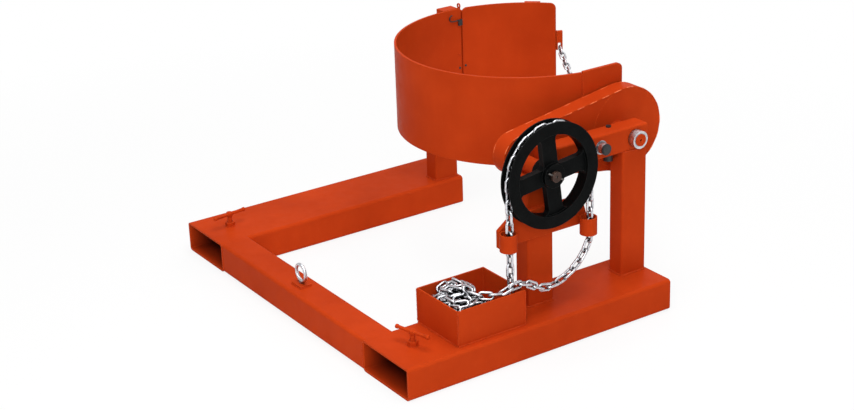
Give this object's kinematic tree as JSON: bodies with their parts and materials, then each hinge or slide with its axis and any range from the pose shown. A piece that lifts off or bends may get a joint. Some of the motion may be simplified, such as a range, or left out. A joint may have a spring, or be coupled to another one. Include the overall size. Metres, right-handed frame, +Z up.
{
  "type": "drum tipper",
  "caption": "U-shaped fork-truck base with fork pockets carries a hinged drum collar that is tipped by a hand chain wheel and a roller chain in a side case.",
  "frame": {"origin": "on the floor, under the middle of the rear crossbar", "axes": "+X across the base towards the drive side with the chain wheel, +Y forward from the rear crossbar towards the open front, +Z up"},
  "size_m": [1, 0.9403, 0.551],
  "materials": {
    "orange_paint": "glossy orange-red enamel with welds showing",
    "black_paint": "satin black",
    "zinc_plated": "bright zinc plate",
    "bare_steel": "turned steel",
    "dark_steel": "oiled steel",
    "bronze": "machined bronze",
    "brown_shaft": "steel with a brown skin"
  },
  "bodies": {
    "frame": {"left_leg": "orange_paint", "right_leg": "orange_paint", "rear_crossbar": "orange_paint", "idler_post": "orange_paint", "drive_post_front": "orange_paint", "drive_post_rear": "orange_paint", "bearing_beam": "orange_paint", "chain_box": "orange_paint", "guide_arm": "orange_paint", "rear_chain_guide": "orange_paint", "front_chain_guide": "orange_paint", "chain_case_back": "orange_paint", "chain_case_cover": "orange_paint", "wheel_bearing_tube": "orange_paint", "wheel_bushes": "bronze", "tilt_bearing_tube": "orange_paint", "tilt_bushes": "bronze", "lock_bush": "zinc_plated", "idler_bearing_tube": "orange_paint", "idler_bush": "bronze", "eye_bolt": "zinc_plated", "eye_bolt_plate": "orange_paint", "left_clamp_nut": "orange_paint", "right_clamp_nut": "orange_paint", "hand_chain": "zinc_plated", "hand_chain_heap": "zinc_plated", "hand_chain_core": "zinc_plated", "roller_chain": "dark_steel"},
    "collar": {"collar_band": "orange_paint", "drive_plate": "orange_paint", "tilt_shaft": "orange_paint", "tilt_shaft_rivets": "bare_steel", "tilt_shaft_collar": "zinc_plated", "large_sprocket": "dark_steel", "trunnion_bar": "orange_paint", "idler_shaft": "bare_steel", "idler_washer": "zinc_plated", "idler_split_pin": "zinc_plated", "lock_lug": "orange_paint", "hinge_knuckles": "orange_paint", "hinge_pin": "orange_paint", "catch_clip": "black_paint", "chain_lug": "orange_paint"},
    "wing": {"wing": "orange_paint", "wing_hinge_leaf": "orange_paint", "wing_strap": "orange_paint", "wing_catch": "orange_paint"},
    "binding_chain": {"binding_chain": "zinc_plated"},
    "hand_wheel": {"chain_wheel": "black_paint", "wheel_shaft": "brown_shaft", "wheel_washer": "zinc_plated", "wheel_split_pin": "zinc_plated", "small_sprocket": "dark_steel"},
    "lock_bolt": {"lock_bolt": "zinc_plated", "lock_bolt_cap": "black_paint"},
    "left_clamp_pad": {"left_clamp_pad": "zinc_plated"},
    "right_clamp_pad": {"right_clamp_pad": "zinc_plated"},
    "left_clamp_screw": {"left_clamp_screw": "orange_paint"},
    "right_clamp_screw": {"right_clamp_screw": "orange_paint"},
    "beam_knob": {"beam_knob": "black_paint"}
  },
  "joints": [
    {"name": "collar_tilt", "type": "hinge", "parent": "frame", "child": "collar", "pos_m": [0, 0.6395, 0.405], "axis": [-1, 0, 0], "continuous": true},
    {"name": "wheel_spin", "type": "hinge", "parent": "frame", "child": "hand_wheel", "pos_m": [0.452, 0.3725, 0.3953], "axis": [-1, 0, 0], "continuous": true},
    {"name": "wing_swing", "type": "hinge", "parent": "collar", "child": "wing", "pos_m": [-0.31155, 0.67445, 0.435], "axis": [0, 0, 1], "range_deg": [0, 90]},
    {"name": "binding_chain_drop", "type": "hinge", "parent": "collar", "child": "binding_chain", "pos_m": [0.29004, 0.7104, 0.441], "axis": [-0.3627, -0.9319, 0], "range_deg": [0, 50]},
    {"name": "lock_pull", "type": "slide", "parent": "frame", "child": "lock_bolt", "axis": [1, 0, 0], "range_m": [0, 0.014]},
    {"name": "left_screw_turn", "type": "hinge", "parent": "left_clamp_pad", "child": "left_clamp_screw", "pos_m": [-0.411, 0.0335, 0.09], "axis": [0, 0, -1], "range_deg": [0, 2160]},
    {"name": "left_pad_feed", "type": "slide", "parent": "frame", "child": "left_clamp_pad", "axis": [0, 0, -1], "range_m": [0, 0.015]},
    {"name": "right_screw_turn", "type": "hinge", "parent": "right_clamp_pad", "child": "right_clamp_screw", "pos_m": [0.411, 0.0335, 0.09], "axis": [0, 0, -1], "range_deg": [0, 2160]},
    {"name": "right_pad_feed", "type": "slide", "parent": "frame", "child": "right_clamp_pad", "axis": [0, 0, -1], "range_m": [0, 0.015]},
    {"name": "beam_knob_turn", "type": "hinge", "parent": "frame", "child": "beam_knob", "pos_m": [0.384, 0.5895, 0.38], "axis": [0, 0, 1], "continuous": true}
  ],
  "couplings": [
    {"joint": "wheel_spin", "follows": "collar_tilt", "ratio": 3},
    {"joint": "left_pad_feed", "follows": "left_screw_turn", "m_per_rad": 0.00039789},
    {"joint": "right_pad_feed", "follows": "right_screw_turn", "m_per_rad": 0.00039789}
  ]
}
